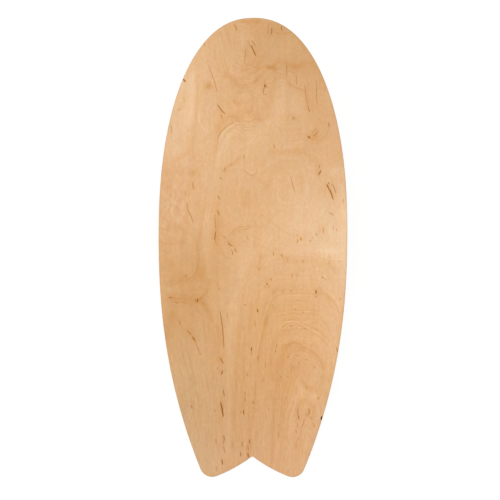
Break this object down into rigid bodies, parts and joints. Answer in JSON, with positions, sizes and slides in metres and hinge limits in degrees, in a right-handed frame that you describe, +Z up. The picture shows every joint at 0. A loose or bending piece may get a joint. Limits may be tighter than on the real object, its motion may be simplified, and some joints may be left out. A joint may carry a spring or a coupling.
{
  "type": "balance board with roller",
  "caption": "Surf-shaped plywood balance board with a swallow tail, stops under both ends and a cork-covered roller that it rolls on.",
  "frame": {"origin": "on the floor, under the middle of the object as it stands on its tail tips and its roller", "axes": "+X towards the nose, +Y to the rider's left when facing the nose, +Z up; the deck rises to the nose by 10.87 degrees"},
  "size_m": [0.7874, 0.329, 0.1644],
  "materials": {
    "birch_plywood": "satin",
    "beech": "satin",
    "turned_birch": "satin",
    "zinc_steel": "satin",
    "cork": "matte",
    "wound_board": "matte"
  },
  "bodies": {
    "board": {"deck": "birch_plywood", "nose_stop": "beech", "tail_stop": "beech", "nose_screw_1": "zinc_steel", "nose_screw_2": "zinc_steel", "nose_screw_3": "zinc_steel", "nose_screw_4": "zinc_steel", "tail_screw_1": "zinc_steel", "tail_screw_2": "zinc_steel", "tail_screw_3": "zinc_steel", "tail_screw_4": "zinc_steel"},
    "roller_carrier": {"roller_core": "wound_board"},
    "roller": {"cork_sleeve": "cork", "end_plug_left": "turned_birch", "end_plug_right": "turned_birch"}
  },
  "joints": [
    {"name": "roller_travel", "type": "slide", "parent": "board", "child": "roller_carrier", "axis": [0.9821, 0, 0.1885], "range_m": [-0.3655, 0.1055]},
    {"name": "roller_spin", "type": "hinge", "parent": "roller_carrier", "child": "roller", "pos_m": [0.13857, 0, 0.05], "axis": [0, 1, 0], "continuous": true}
  ],
  "couplings": [
    {"joint": "roller_spin", "follows": "roller_travel", "rad_per_m": -20}
  ]
}
